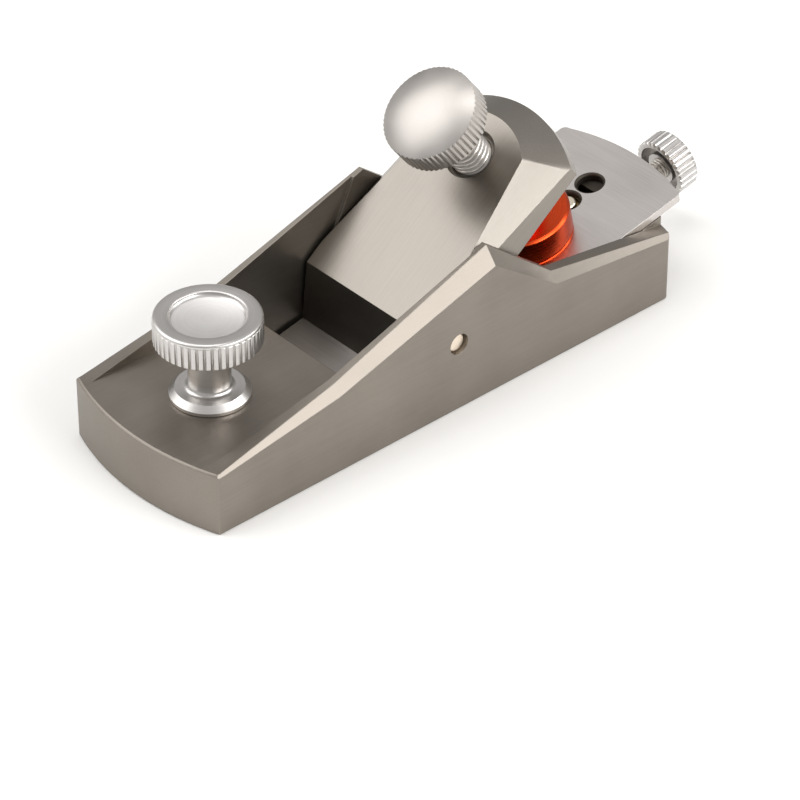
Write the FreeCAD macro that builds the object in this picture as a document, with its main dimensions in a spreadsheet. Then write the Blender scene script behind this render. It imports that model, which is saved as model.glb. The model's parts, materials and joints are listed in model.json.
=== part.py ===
import FreeCAD, Part
import os
import re
import Sketcher
from FreeCAD import Placement, Rotation, Vector

# Small block plane. Millimetres, +Z up, sole on Z = 0, toe towards -X, heel towards +X.
# Origin: the middle of the sole, half way between the toe and heel corners.

DRIVING_SIZES = {
    # body casting
    "body_width": 47.5,
    "side_length": 131.0,      # toe corner to heel corner
    "end_bow": 4.3,            # how far the toe and heel arcs stand out past their corners
    "heel_corner": 1.6,        # rounding of the heel's upright corners
    "deck_height": 15.2,
    "wall_start": 1.0,         # the wall tops leave the deck this far behind the toe corner
    "kink_from_toe": 33.4,
    "kink_height": 21.8,
    "peak_from_toe": 77.7,
    "peak_height": 36.6,
    "valley_from_toe": 96.1,
    "valley_height": 22.1,
    "heel_height": 16.1,
    "bevel_toe": 0.6,          # outer wall bevel, inset at each corner of the profile
    "bevel_kink": 2.0,
    "bevel_peak": 3.2,
    "bevel_valley": 2.0,
    "bevel_heel": 0.85,
    "bevel_steepness": 1.25,   # drop of the wall bevel for each millimetre of inset
    "toe_bevel": 0.45,
    "front_wall": 3.85,
    "rear_wall": 4.55,
    # mouth and bed
    "edge_from_toe": 43.5,
    "mouth_gap": 1.15,
    "bed_angle": 12,
    "bed_gap": 0.03,
    # blade
    "blade_side_gap": 0.2,
    "blade_thickness": 2.0,
    "blade_reach": 100.8,      # cutting edge to the middle of the rear arc
    "blade_bow": 3.4,
    "blade_corner": 1.6,
    "blade_grind": 25,
    "edge_lift": 0.02,         # the cutting edge stands this far above the sole at rest
    "blade_hole": 6.0,
    "hole_sink": 0.45,         # countersink round each blade hole
    "hole_pitch": 7.4,
    # lever cap
    "cap_angle": 38,
    "cap_gap": 0.9,            # between the cap and each front wall
    "cap_thickness": 10.5,
    "lip_from_edge": 16.6,
    "lip_land": 0.6,
    "lip_gap": 0.03,
    "front_cut": 44.3,
    "cap_reach": 65.4,         # lip to the middle of the rounded rear end
    "cap_rear_radius": 30.7,
    "cap_bevel_start": 15.5,
    "cap_bevel_inset": 0.1667,
    "cap_bevel_drop": 0.171,
    "cone_centre": 41.8,
    "cone_radius": 17.4,
    "cone_spread": 1.05,
    "hinge_along": 13.4,       # cross pin place in the cap, from the lip
    "hinge_rise": 4.4,         # and above the cap's underside
    "pin_diameter": 5.0,
    "pin_recess": 1.0,
    "pin_fit": 0.03,
    # lever screw
    "screw_along": 49.2,
    "thread_diameter": 9.5,
    "thread_fit": 0.06,
    "hole_chamfer": 1.15,
    "screw_head_rise": 19.6,   # top of the knurl above the cap
    "screw_knob_diameter": 22.2,
    "screw_knurl_length": 6.2,
    "screw_dome": 2.6,
    "stem_socket": 6.0,        # stem reaches this far into the knob
    # clamp pad
    "pad_diameter": 24.6,
    "pad_rim": 7.8,            # top of the upper disc above the blade
    "pad_rim_bevel": 0.6,
    "pad_boss_wall": 2.15,     # round the ball's socket
    "socket_rise": 1.7,        # the socket closes over the ball this far above its centre
    "pad_throat_length": 1.3,
    "pad_split": 1.0,          # height of the lower disc
    "pad_groove": 0.35,
    "pad_groove_depth": 0.8,
    "post_gap": 0.15,          # round the lower disc's post, inside the upper disc
    "ball_diameter": 8.6,
    "ball_height": 12.0,       # ball centre above the blade
    "ball_fit": 0.05,
    "ball_wall": 1.8,          # ball metal round the journal
    "journal_length": 3.4,
    "journal_fit": 0.03,
    "journal_neck": 2.0,       # bare journal between the ball and the thread
    "pad_throat_flare": 1.3,   # the throat opens this much towards its top, so the stem can lean
    # front knob
    "knob_from_toe": 17.5,
    "knob_diameter": 23.6,
    "knob_height": 20.4,
    "knob_knurl_base": 13.9,
    "knob_rim": 1.0,
    "knob_dish_diameter": 16.4,
    "knob_dish_depth": 1.1,
    "knob_waist": 9.2,
    "knob_flange_diameter": 17.7,
    "knob_flange": 2.2,
    "knob_flange_bevel": 1.3,
    "knob_flare": 2.2,
    "knob_seat_gap": 0.02,
    "stud_diameter": 6.0,
    "stud_depth": 9.0,
    "stud_engage": 10.0,
    # depth adjuster
    "adjuster_from_edge": 80.1,
    "spindle_drop": 8.4,       # spindle axis below the bed
    "pocket_length": 16.0,
    "pocket_width": 9.4,
    "pocket_floor": 4.4,       # below the spindle axis
    "carriage_side_gap": 0.15,
    "carriage_length": 6.4,
    "carriage_top_gap": 0.3,
    "carriage_floor_gap": 0.35,
    "driver_play": 0.8,        # round the driver pin, in the blade's hole
    "driver_rise": 1.7,        # above the bed
    "spindle_thread": 5.0,
    "spindle_neck": 3.6,
    "neck_fit": 0.03,
    "washer_diameter": 6.6,
    "washer_thickness": 0.5,
    "washer_play": 0.05,
    "clip_thickness": 0.7,
    "clip_diameter": 6.2,
    "clip_groove_diameter": 2.8,
    "spindle_nose": 0.7,
    "bush_thickness": 1.44,    # metal round the spindle's thread
    "bush_flange_step": 1.2,
    "bush_flange": 1.4,
    "pocket_wall": 1.2,        # body metal between the carriage pocket and the bush
    "passage_gap": 0.5,        # round the spindle, through that metal
    "knob_clearance": 16.1,    # heel to the adjuster knob
    "adjuster_knob_diameter": 14.3,
    "adjuster_knurl": 5.8,
    "adjuster_cup_diameter": 11.6,
    "adjuster_cup_depth": 3.0,
    "adjuster_hub_wall": 1.3,
    "grub_diameter": 2.5,
    "grub_length": 2.0,
}

doc = FreeCAD.newDocument("block_plane")
sheet = doc.addObject("Spreadsheet::Sheet", "Sizes")
for row, (alias, number) in enumerate(DRIVING_SIZES.items(), start=1):
    sheet.set(f"A{row}", alias)
    sheet.set(f"B{row}", str(number))
    sheet.setAlias(f"B{row}", alias)
doc.recompute()

# Sizes worked out from the driving ones, as expressions.
TOE = "(-side_length / 2)"
HEEL = "(side_length / 2)"
BOW_RADIUS = "((body_width^2 / 4 + end_bow^2) / (2 * end_bow))"
INNER_FRONT = "(body_width - 2 * front_wall)"
INNER_REAR = "(body_width - 2 * rear_wall)"
EDGE_X = f"({TOE} + edge_from_toe)"
THROAT_X = f"({EDGE_X} - mouth_gap)"
BLADE_WIDTH = f"({INNER_REAR} - 2 * blade_side_gap)"
BLADE_BOW_RADIUS = f"(({BLADE_WIDTH}^2 / 4 + blade_bow^2) / (2 * blade_bow))"
BLADE_CHORD = f"({BLADE_WIDTH} / 2 - blade_corner)"
BLADE_END = f"(blade_reach - {BLADE_BOW_RADIUS} + sqrt({BLADE_BOW_RADIUS}^2 - {BLADE_CHORD}^2))"
HEEL_CHORD = "(body_width / 2 - heel_corner)"
HEEL_END = f"({HEEL} + end_bow - {BOW_RADIUS} + sqrt({BOW_RADIUS}^2 - {HEEL_CHORD}^2))"
BLADE_TOP = "(bed_gap + blade_thickness)"
CAP_WIDTH = f"({INNER_FRONT} - 2 * cap_gap)"
TILT = "(cap_angle - bed_angle)"
CAP_UNDER = f"(-lip_land * sin({TILT}))"
CAP_TOP = f"({CAP_UNDER} + cap_thickness)"
HINGE_UP = f"({CAP_UNDER} + hinge_rise)"
SCREW_BORE = "(thread_diameter + 2 * thread_fit)"
BALL_DOWN = f"((ball_height - screw_along * sin({TILT})) / cos({TILT}))"
CARRIAGE_FRONT = "(adjuster_from_edge - carriage_length / 2)"
CARRIAGE_REAR = "(adjuster_from_edge + carriage_length / 2)"
POCKET_START = "(adjuster_from_edge - pocket_length / 2 - 0.6)"
POCKET_END = f"({POCKET_START} + pocket_length)"
BUSH_START = f"({POCKET_END} + pocket_wall)"
BUSH_RADIUS = "(spindle_thread / 2 + thread_fit + bush_thickness)"
FLANGE_RADIUS = f"({BUSH_RADIUS} + bush_flange_step)"
PASSAGE_RADIUS = "(spindle_thread / 2 + passage_gap)"
# the heel arc's middle, measured along the spindle
HEEL_FACE = f"(({HEEL} + end_bow - {EDGE_X}) / cos(bed_angle) - spindle_drop * tan(bed_angle))"
SPINDLE_W = "(-spindle_drop)"
KNOB_START = f"({HEEL_FACE} + knob_clearance)"
DRIVER_RADIUS = "(blade_hole / 2 - driver_play)"
SOCKET_RADIUS = "(ball_diameter / 2 + ball_fit)"
JOURNAL_RADIUS = "(ball_diameter / 2 - ball_wall)"
COLLAR_START = f"({CARRIAGE_REAR} + washer_thickness + 2 * washer_play)"
CLIP_START = f"({CARRIAGE_FRONT} - washer_thickness - 2 * washer_play - clip_thickness)"

ALIAS = re.compile("|".join(rf"\b{name}\b" for name in sorted(DRIVING_SIZES, key=len, reverse=True)))


def bound(expression):
    """The expression with each size's name pointing at the sheet."""
    return ALIAS.sub(lambda match: "Sizes." + match.group(0), str(expression))


def value(expression):
    """The expression's number now."""
    result = sheet.evalExpression(bound(expression).replace("Sizes.", ""))
    return float(getattr(result, "Value", result))


def add_body(name):
    body = doc.addObject("PartDesign::Body", name)
    body.Label = name
    return body


def origin_plane(body, role):
    return next(item for item in body.Origin.OriginFeatures if item.Role == role)


def add_sketch(body, role, name, shift=None):
    """A sketch on one of the body's own origin planes, moved along its normal by shift."""
    sketch = body.newObject("Sketcher::SketchObject", name)
    sketch.AttachmentSupport = (origin_plane(body, role), [""])
    sketch.MapMode = "FlatFace"
    if shift is not None:
        sketch.setExpression("AttachmentOffset.Base.z", bound(shift))
    return sketch


def pin_point(sketch, geometry, end, place):
    """Ties one end of a geometry to its place with two bound distances from the origin."""
    for kind, expression in (("DistanceX", place[0]), ("DistanceY", place[1])):
        index = sketch.addConstraint(Sketcher.Constraint(kind, -1, 1, geometry, end, value(expression)))
        sketch.setExpression(f"Constraints[{index}]", bound(expression))


def draw_outline(sketch, places, arcs=None, hollow=None):
    """A closed anticlockwise outline through the places.

    arcs gives the radius of each side that bulges out, and hollow of each that bends in,
    by the number of the place that it starts from.
    """
    arcs = arcs or {}
    hollow = hollow or {}
    spots = [Vector(value(across), value(up), 0) for across, up in places]
    first = sketch.GeometryCount
    count = len(spots)
    for index, start in enumerate(spots):
        end = spots[(index + 1) % count]
        if index in arcs:
            sketch.addGeometry(bowed_side(start, end, value(arcs[index])), False)
        elif index in hollow:
            sketch.addGeometry(bowed_side(end, start, value(hollow[index])), False)
        else:
            sketch.addGeometry(Part.LineSegment(start, end), False)
    # a hollow side is drawn from its far end, so its two ends change places
    starts = [2 if index in hollow else 1 for index in range(count)]
    for index in range(count):
        follower = (index + 1) % count
        sketch.addConstraint(Sketcher.Constraint(
            "Coincident", first + index, 3 - starts[index], first + follower, starts[follower]))
    for index, place in enumerate(places):
        pin_point(sketch, first + index, starts[index], place)
    for index, radius in {**arcs, **hollow}.items():
        number = sketch.addConstraint(Sketcher.Constraint("Radius", first + index, value(radius)))
        sketch.setExpression(f"Constraints[{number}]", bound(radius))


def bowed_side(start, end, radius):
    """An arc from start to end that bows to the right of its direction."""
    chord = end - start
    half = chord.Length / 2
    right = Vector(chord.y, -chord.x, 0).normalize()
    middle = (start + end) / 2 + right * (radius - (radius ** 2 - half ** 2) ** 0.5)
    return Part.Arc(start, middle, end)


def draw_circle(sketch, place, diameter):
    centre = Vector(value(place[0]), value(place[1]), 0)
    index = sketch.addGeometry(Part.Circle(centre, Vector(0, 0, 1), value(diameter) / 2), False)
    pin_point(sketch, index, 3, place)
    number = sketch.addConstraint(Sketcher.Constraint("Diameter", index, value(diameter)))
    sketch.setExpression(f"Constraints[{number}]", bound(diameter))


def draw_axis(sketch, start, end):
    """A construction line to turn a profile about; returns its name."""
    line = Part.LineSegment(Vector(value(start[0]), value(start[1]), 0), Vector(value(end[0]), value(end[1]), 0))
    index = sketch.addGeometry(line, True)
    pin_point(sketch, index, 1, start)
    pin_point(sketch, index, 2, end)
    return "Axis0"


def extrude(body, kind, sketch, name, length, side="One side", reverse=False):
    feature = body.newObject("PartDesign::" + kind, name)
    feature.Profile = sketch
    feature.SideType = side
    feature.Reversed = reverse
    feature.setExpression("Length", bound(length))
    doc.recompute()
    body.Tip = feature
    return feature


def turn(body, kind, sketch, name, axis="V_Axis", angle=360, reverse=False):
    feature = body.newObject("PartDesign::" + kind, name)
    feature.Profile = sketch
    feature.ReferenceAxis = (sketch, [axis])
    feature.Angle = angle
    feature.Reversed = reverse
    doc.recompute()
    body.Tip = feature
    return feature


def mirror(body, feature, role, name):
    copy = body.newObject("PartDesign::Mirrored", name)
    copy.Originals = [feature]
    copy.MirrorPlane = (origin_plane(body, role), [""])
    body.Tip = copy
    doc.recompute()
    return copy


def turned_body(name, outline, angle=360):
    """A body of revolution about its own Z axis; the outline holds radius and height pairs."""
    body = add_body(name)
    sketch = add_sketch(body, "XZ_Plane", name + "_profile")
    draw_outline(sketch, outline)
    turn(body, "Revolution", sketch, name + "_turning", angle=angle)
    return body


def bore(body, name, diameter, start, depth, role="XY_Plane", reverse=True):
    """A round hole along the body's Z axis, from the height start, down by depth."""
    sketch = add_sketch(body, role, name + "_circle", shift=start)
    draw_circle(sketch, ("0", "0"), diameter)
    return extrude(body, "Pocket", sketch, name, depth, reverse=not reverse)


def place_in_bed(body, along, up, spin=0):
    """Sets a body in the bed's frame: along the bed from the cutting edge, and square to it."""
    base_x = f"{EDGE_X} + ({along}) * cos(bed_angle) - ({up}) * sin(bed_angle)"
    base_z = f"({along}) * sin(bed_angle) + ({up}) * cos(bed_angle)"
    set_place(body, base_x, base_z, f"-bed_angle + {spin}")


def place_in_cap(body, along, up, angle="-cap_angle"):
    """Sets a body in the lever cap's frame: along the cap from its lip, and square to it."""
    lip_x = f"{EDGE_X} + lip_from_edge * cos(bed_angle) - ({BLADE_TOP} + lip_gap) * sin(bed_angle)"
    lip_z = f"lip_from_edge * sin(bed_angle) + ({BLADE_TOP} + lip_gap) * cos(bed_angle)"
    base_x = f"{lip_x} + ({along}) * cos(cap_angle) - ({up}) * sin(cap_angle)"
    base_z = f"{lip_z} + ({along}) * sin(cap_angle) + ({up}) * cos(cap_angle)"
    set_place(body, base_x, base_z, angle)


def set_place(body, base_x, base_z, angle):
    """Binds the body's Placement: a point in the XZ plane and a turn about the Y axis."""
    body.Placement = Placement(Vector(0, 0, 0), Rotation(Vector(0, 1, 0), value(angle)))
    body.setExpression("Placement.Base.x", bound(base_x))
    body.setExpression("Placement.Base.z", bound(base_z))
    body.setExpression("Placement.Rotation.Yaw", "0")
    body.setExpression("Placement.Rotation.Pitch", bound(angle))
    body.setExpression("Placement.Rotation.Roll", "0")


def hinge_in_world():
    """The cross pin's place, as two expressions."""
    lip_x = f"({EDGE_X} + lip_from_edge * cos(bed_angle) - ({BLADE_TOP} + lip_gap) * sin(bed_angle))"
    lip_z = f"(lip_from_edge * sin(bed_angle) + ({BLADE_TOP} + lip_gap) * cos(bed_angle))"
    hinge_x = f"({lip_x} + hinge_along * cos(cap_angle) - {HINGE_UP} * sin(cap_angle))"
    hinge_z = f"({lip_z} + hinge_along * sin(cap_angle) + {HINGE_UP} * cos(cap_angle))"
    return hinge_x, hinge_z


def bed_point(along, up):
    """A point of the bed's frame in the XZ plane, as two expressions."""
    return (f"({EDGE_X} + ({along}) * cos(bed_angle) - ({up}) * sin(bed_angle))",
            f"(({along}) * sin(bed_angle) + ({up}) * cos(bed_angle))")


def make_plane_body():
    """Sole, side walls, deck, bed, mouth and the adjuster's pocket, in one machined block."""
    body = add_body("plane_body")
    plan = add_sketch(body, "XY_Plane", "body_plan")
    side = "(body_width / 2)"
    draw_outline(plan, [
        (TOE, f"-{side}"),
        (f"{HEEL_END} - heel_corner", f"-{side}"),
        (HEEL_END, f"-{HEEL_CHORD}"),
        (HEEL_END, HEEL_CHORD),
        (f"{HEEL_END} - heel_corner", side),
        (TOE, side)],
        arcs={1: "heel_corner", 2: BOW_RADIUS, 3: "heel_corner", 5: BOW_RADIUS})
    extrude(body, "Pad", plan, "body_block", "peak_height")

    above = add_sketch(body, "XZ_Plane", "above_walls", shift=f"{INNER_REAR} / 2")
    far_toe = f"{TOE} - end_bow - 2"
    far_heel = f"{HEEL} + end_bow + 2"
    draw_outline(above, [
        (far_toe, "deck_height"),
        (f"{TOE} + wall_start", "deck_height"),
        (f"{TOE} + kink_from_toe", "kink_height"),
        (f"{TOE} + peak_from_toe", "peak_height"),
        (f"{TOE} + valley_from_toe", "valley_height"),
        (far_heel, "heel_height"),
        (far_heel, "peak_height + 5"),
        (far_toe, "peak_height + 5")])
    near = extrude(body, "Pocket", above, "near_wall_profile", "rear_wall + 2", reverse=True)
    mirror(body, near, "XZ_Plane", "far_wall_profile")

    front = add_sketch(body, "XZ_Plane", "between_front_walls")
    draw_outline(front, [
        (f"{THROAT_X}", "-1"),
        (EDGE_X, "-1"),
        bed_point("0", "0"),
        bed_point("lip_from_edge", "0"),
        (f"{TOE} + peak_from_toe", "peak_height + 5"),
        (far_toe, "peak_height + 5"),
        (far_toe, "deck_height"),
        (THROAT_X, "deck_height")])
    extrude(body, "Pocket", front, "front_opening", INNER_FRONT, "Symmetric")

    rear = add_sketch(body, "XZ_Plane", "between_rear_walls")
    draw_outline(rear, [
        bed_point("0", "0"),
        bed_point("side_length + 20", "0"),
        (far_heel, "peak_height + 30"),
        (EDGE_X, "peak_height + 30")])
    extrude(body, "Pocket", rear, "rear_opening", INNER_REAR, "Symmetric")

    add_wall_bevels(body)
    add_toe_bevel(body)

    hinge_x, hinge_z = hinge_in_world()
    hinge = add_sketch(body, "XZ_Plane", "hinge_circle")
    draw_circle(hinge, (hinge_x, hinge_z), "pin_diameter")
    extrude(body, "Pocket", hinge, "hinge_bore", "body_width + 2", "Symmetric")

    pocket = add_sketch(body, "XZ_Plane", "carriage_pocket_side")
    draw_outline(pocket, [
        bed_point(POCKET_START, "-spindle_drop - pocket_floor"),
        bed_point(POCKET_END, "-spindle_drop - pocket_floor"),
        bed_point(POCKET_END, "4"),
        bed_point(POCKET_START, "4")])
    extrude(body, "Pocket", pocket, "carriage_pocket", "pocket_width", "Symmetric")

    passage = add_sketch(body, "XZ_Plane", "bush_seat_profile")
    draw_outline(passage, [
        bed_point(f"{POCKET_END} - 1", SPINDLE_W),
        bed_point(f"{HEEL_FACE} + 8", SPINDLE_W),
        bed_point(f"{HEEL_FACE} + 8", f"{SPINDLE_W} + {FLANGE_RADIUS} + 0.1"),
        bed_point(f"{HEEL_FACE} - bush_flange", f"{SPINDLE_W} + {FLANGE_RADIUS} + 0.1"),
        bed_point(f"{HEEL_FACE} - bush_flange", f"{SPINDLE_W} + {BUSH_RADIUS}"),
        bed_point(BUSH_START, f"{SPINDLE_W} + {BUSH_RADIUS}"),
        bed_point(BUSH_START, f"{SPINDLE_W} + {PASSAGE_RADIUS}"),
        bed_point(f"{POCKET_END} - 1", f"{SPINDLE_W} + {PASSAGE_RADIUS}")])
    axis = draw_axis(passage, bed_point("0", SPINDLE_W), bed_point("10", SPINDLE_W))
    turn(body, "Groove", passage, "bush_seat", axis=axis)

    stud = add_sketch(body, "XY_Plane", "stud_circle", shift="deck_height + 1")
    draw_circle(stud, (f"{TOE} + knob_from_toe", "0"), "stud_diameter + 2 * thread_fit")
    extrude(body, "Pocket", stud, "stud_bore", "stud_depth + 2")
    return body


def add_wall_bevels(body):
    """The outer bevel along both wall tops, as a ruled cut whose width changes at each corner."""
    stations = [
        (f"{TOE} + wall_start", "deck_height", "bevel_toe"),
        (f"{TOE} + kink_from_toe", "kink_height", "bevel_kink"),
        (f"{TOE} + peak_from_toe", "peak_height", "bevel_peak"),
        (f"{TOE} + valley_from_toe", "valley_height", "bevel_valley"),
        (f"{HEEL} + end_bow + 2", "heel_height", "bevel_heel")]
    stations.insert(0, (f"{TOE} - end_bow - 2", "deck_height", "bevel_toe"))
    sketches = []
    for number, (along, height, inset) in enumerate(stations):
        sketch = add_sketch(body, "YZ_Plane", f"wall_bevel_{number}", shift=along)
        side = "body_width / 2"
        draw_outline(sketch, [
            (f"-{side} + {inset}", height),
            (f"-{side} + {inset}", f"{height} + 6"),
            (f"-{side} - 3", f"{height} + 6"),
            (f"-{side} - 3", f"{height} - {inset} * bevel_steepness - 3 * bevel_steepness")])
        sketches.append(sketch)
    # one ruled cut for each straight stretch keeps every bevel a flat facet
    for number in range(len(sketches) - 1):
        loft = body.newObject("PartDesign::SubtractiveLoft", f"wall_bevel_cut_{number}")
        loft.Profile = sketches[number]
        loft.Sections = [sketches[number + 1]]
        loft.Ruled = True
        doc.recompute()
        body.Tip = loft
        mirror(body, loft, "XZ_Plane", f"wall_bevel_far_{number}")


def add_toe_bevel(body):
    """A fine bevel round the deck's toe edge, turned about the toe arc's centre."""
    centre = f"({TOE} - end_bow + {BOW_RADIUS})"
    front = f"({TOE} - end_bow)"
    sketch = add_sketch(body, "XZ_Plane", "toe_bevel_profile")
    draw_outline(sketch, [
        (f"{front} - 1", "deck_height - toe_bevel - 1"),
        (f"{front} + toe_bevel + 1", "deck_height + 1"),
        (f"{front} - 1", "deck_height + 1")])
    axis = draw_axis(sketch, (centre, "0"), (centre, "10"))
    groove = turn(body, "Groove", sketch, "toe_bevel_cut", axis=axis, angle=60)
    groove.Midplane = True
    doc.recompute()


def make_cross_pin():
    body = add_body("cross_pin")
    length = "(body_width - 2 * pin_recess)"
    radius = "pin_diameter / 2"
    sketch = add_sketch(body, "XZ_Plane", "cross_pin_profile")
    draw_outline(sketch, [
        ("0", f"-{length} / 2"),
        (f"{radius} - 0.5", f"-{length} / 2"),
        (radius, f"-{length} / 2 + 0.5"),
        (radius, f"{length} / 2 - 0.5"),
        (f"{radius} - 0.5", f"{length} / 2"),
        ("0", f"{length} / 2")])
    turn(body, "Revolution", sketch, "cross_pin_turning")
    hinge_x, hinge_z = hinge_in_world()
    body.Placement = Placement(Vector(0, 0, 0), Rotation(Vector(1, 0, 0), 90))
    body.setExpression("Placement.Base.x", bound(hinge_x))
    body.setExpression("Placement.Base.z", bound(hinge_z))
    return body


def make_blade():
    """The iron lies bevel up on the bed; its frame starts at the cutting edge."""
    body = add_body("blade")
    plan = add_sketch(body, "XY_Plane", "blade_plan")
    half = f"({BLADE_WIDTH} / 2)"
    draw_outline(plan, [
        ("0", f"-{half}"),
        (f"{BLADE_END} - blade_corner", f"-{half}"),
        (BLADE_END, f"-{BLADE_CHORD}"),
        (BLADE_END, BLADE_CHORD),
        (f"{BLADE_END} - blade_corner", half),
        ("0", half)],
        arcs={1: "blade_corner", 2: BLADE_BOW_RADIUS, 3: "blade_corner"})
    extrude(body, "Pad", plan, "blade_plate", "blade_thickness")
    grind = add_sketch(body, "XZ_Plane", "blade_grind_side")
    draw_outline(grind, [
        ("-2", "-2 * tan(blade_grind)"),
        ("blade_thickness / tan(blade_grind) + 1", "blade_thickness + tan(blade_grind)"),
        ("-2", "blade_thickness + tan(blade_grind)")])
    extrude(body, "Pocket", grind, "blade_grind_cut", f"{BLADE_WIDTH} + 2", "Symmetric")
    for name, along in (("front", "adjuster_from_edge"), ("rear", "adjuster_from_edge + hole_pitch")):
        hole = add_sketch(body, "XZ_Plane", f"blade_hole_{name}_profile")
        draw_outline(hole, [
            (along, "-1"),
            (f"{along} + blade_hole / 2", "-1"),
            (f"{along} + blade_hole / 2", "blade_thickness - hole_sink"),
            (f"{along} + blade_hole / 2 + hole_sink + 1", "blade_thickness + 1"),
            (along, "blade_thickness + 1")])
        axis = draw_axis(hole, (along, "0"), (along, "5"))
        turn(body, "Groove", hole, f"blade_hole_{name}", axis=axis)
    place_in_bed(body, "edge_lift / sin(bed_angle)", "bed_gap")
    return body


def make_lever_cap():
    """A thick slab that rocks on the cross pin; its frame starts at the lip on the blade."""
    body = add_body("lever_cap")
    plan = add_sketch(body, "XY_Plane", "cap_plan", shift=CAP_UNDER)
    half = f"{CAP_WIDTH} / 2"
    chord = f"(cap_reach - cap_rear_radius + sqrt(cap_rear_radius^2 - ({half})^2))"
    start = "(-cap_thickness * 2)"
    draw_outline(plan, [(start, f"-{half}"), (chord, f"-{half}"), (chord, half), (start, half)],
                 arcs={1: "cap_rear_radius"})
    extrude(body, "Pad", plan, "cap_slab", "cap_thickness")
    front = add_sketch(body, "XZ_Plane", "cap_front_side")
    high = "(cap_thickness * 1.5)"
    deep = "4"
    draw_outline(front, [
        ("0", "0"),
        (f"{high} * tan(front_cut)", high),
        (f"{start} - 20", high),
        (f"{start} - 20", f"-{deep}"),
        (f"{deep} / tan({TILT})", f"-{deep}")])
    extrude(body, "Pocket", front, "cap_front", f"{CAP_WIDTH} + 2", "Symmetric")

    small = "0.2"
    stations = [f"cap_bevel_start + {small}", "cap_reach + 3"]
    sketches = []
    for number, along in enumerate(stations):
        sketch = add_sketch(body, "YZ_Plane", f"cap_bevel_{number}", shift=along)
        run = f"({along} - cap_bevel_start)"
        inset = f"({run} * cap_bevel_inset)"
        drop = f"({run} * cap_bevel_drop)"
        draw_outline(sketch, [
            (f"-{half} + {inset}", CAP_TOP),
            (f"-{half} - {inset}", f"{CAP_TOP}"),
            (f"-{half} - {inset}", f"{CAP_TOP} - 2 * {drop}")])
        sketches.append(sketch)
    loft = body.newObject("PartDesign::SubtractiveLoft", "cap_side_bevel")
    loft.Profile = sketches[0]
    loft.Sections = [sketches[1]]
    loft.Ruled = True
    doc.recompute()
    body.Tip = loft
    mirror(body, loft, "XZ_Plane", "cap_far_bevel")

    cone = add_sketch(body, "XZ_Plane", "cap_cone_side")
    reach = "(cap_thickness * 0.95)"
    far = f"(cone_centre + cone_radius + {reach} * cone_spread + 8)"
    draw_outline(cone, [
        (f"cone_centre + cone_radius - cone_spread", f"{CAP_TOP} + 1"),
        (f"cone_centre + cone_radius + {reach} * cone_spread", f"{CAP_TOP} - {reach}"),
        (far, f"{CAP_TOP} - {reach}"),
        (far, f"{CAP_TOP} + 1")])
    axis = draw_axis(cone, ("cone_centre", "0"), ("cone_centre", "10"))
    groove = turn(body, "Groove", cone, "cap_cone", axis=axis, angle=178)
    groove.Midplane = True
    doc.recompute()

    hinge = add_sketch(body, "XZ_Plane", "cap_hinge_circle")
    draw_circle(hinge, ("hinge_along", HINGE_UP), "pin_diameter + 2 * pin_fit")
    extrude(body, "Pocket", hinge, "cap_hinge_bore", f"{CAP_WIDTH} + 2", "Symmetric")

    tapped = add_sketch(body, "XZ_Plane", "cap_screw_profile")
    outer = f"screw_along + {SCREW_BORE} / 2"
    draw_outline(tapped, [
        ("screw_along", f"{CAP_UNDER} - 1"),
        (outer, f"{CAP_UNDER} - 1"),
        (outer, f"{CAP_TOP} - hole_chamfer"),
        (f"{outer} + hole_chamfer + 1", f"{CAP_TOP} + 1"),
        ("screw_along", f"{CAP_TOP} + 1")])
    axis = draw_axis(tapped, ("screw_along", "0"), ("screw_along", "10"))
    turn(body, "Groove", tapped, "cap_screw_bore", axis=axis)
    place_in_cap(body, "0", "0")
    return body


def make_lever_screw():
    """Knurled knob with a domed face, its threaded stem, and the journal that turns in the ball."""
    knurl_top = f"({CAP_TOP} - {BALL_DOWN} + screw_head_rise)"
    knurl_base = f"({knurl_top} - screw_knurl_length)"
    radius = "screw_knob_diameter / 2"
    knob = turned_body("lever_screw_knob", [
        ("0", f"{knurl_base} + stem_socket * 0.8"),
        ("thread_diameter / 2", f"{knurl_base} + stem_socket * 0.8"),
        ("thread_diameter / 2", knurl_base),
        (f"{radius} - 0.6", knurl_base),
        (radius, f"{knurl_base} + 0.6"),
        (radius, f"{knurl_top} - 0.4"),
        (f"{radius} - 0.6", knurl_top),
        (f"{radius} * 0.8", f"{knurl_top} + screw_dome * 0.4"),
        (f"{radius} * 0.55", f"{knurl_top} + screw_dome * 0.75"),
        (f"{radius} * 0.28", f"{knurl_top} + screw_dome * 0.95"),
        ("0", f"{knurl_top} + screw_dome")])
    stem_foot = "(ball_diameter / 2 + journal_neck)"
    journal_end = "(ball_diameter / 2 - journal_length)"
    stem = turned_body("lever_screw_stem", [
        ("0", journal_end),
        (JOURNAL_RADIUS, journal_end),
        (JOURNAL_RADIUS, stem_foot),
        ("thread_diameter / 2 - 0.8", stem_foot),
        ("thread_diameter / 2", f"{stem_foot} + 0.8"),
        ("thread_diameter / 2", f"{knurl_base} + stem_socket * 0.8"),
        ("0", f"{knurl_base} + stem_socket * 0.8")])
    for body in (knob, stem):
        place_in_cap(body, "screw_along", BALL_DOWN)
    return knob, stem


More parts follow.
